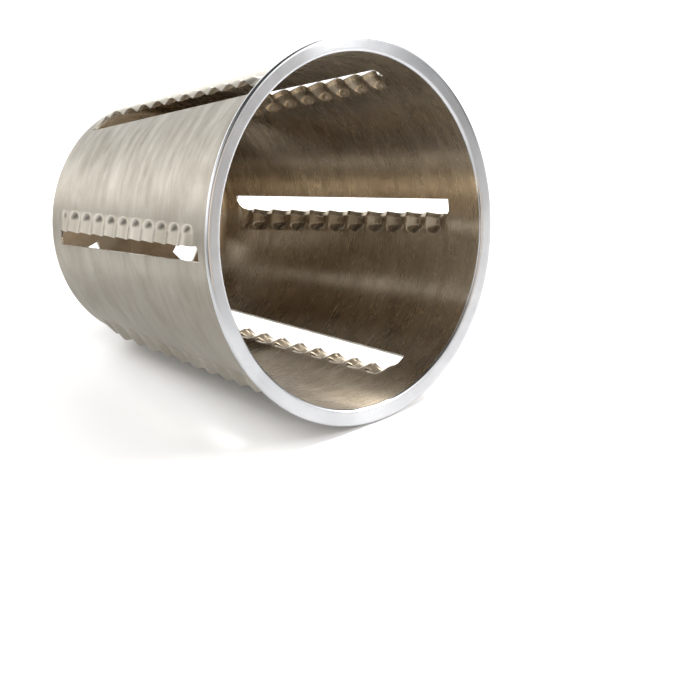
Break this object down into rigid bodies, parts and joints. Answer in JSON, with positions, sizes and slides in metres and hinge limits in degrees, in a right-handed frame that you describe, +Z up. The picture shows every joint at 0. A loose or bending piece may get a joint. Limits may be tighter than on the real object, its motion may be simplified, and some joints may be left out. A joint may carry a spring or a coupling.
{
  "type": "rotary vegetable cutter",
  "caption": "Stainless steel cutting cone of a hand cranked vegetable cutter: a tapered open drum with long windows, raised corrugated cutting lips and a rolled rim.",
  "frame": {"origin": "centre of the pilot hole, on the outer face of the base", "axes": "the drum lies on its side as on a table: +Z up, square to the table; the mouth faces -Y and the small end +Y, dipping by 12.70 degrees; +X is to the right for someone who looks along +Y"},
  "size_m": [0.1016, 0.1034, 0.0991],
  "materials": {
    "sheet_steel": "satin stainless sheet, brushed round the drum",
    "lip_steel": "pressed and ground stainless lips"
  },
  "bodies": {
    "root": {"cone_wall": "sheet_steel", "base_cup": "sheet_steel", "blade_1": "lip_steel", "blade_2": "lip_steel", "blade_3": "lip_steel", "blade_4": "lip_steel", "blade_5": "lip_steel", "blade_6": "lip_steel"}
  },
  "joints": []
}
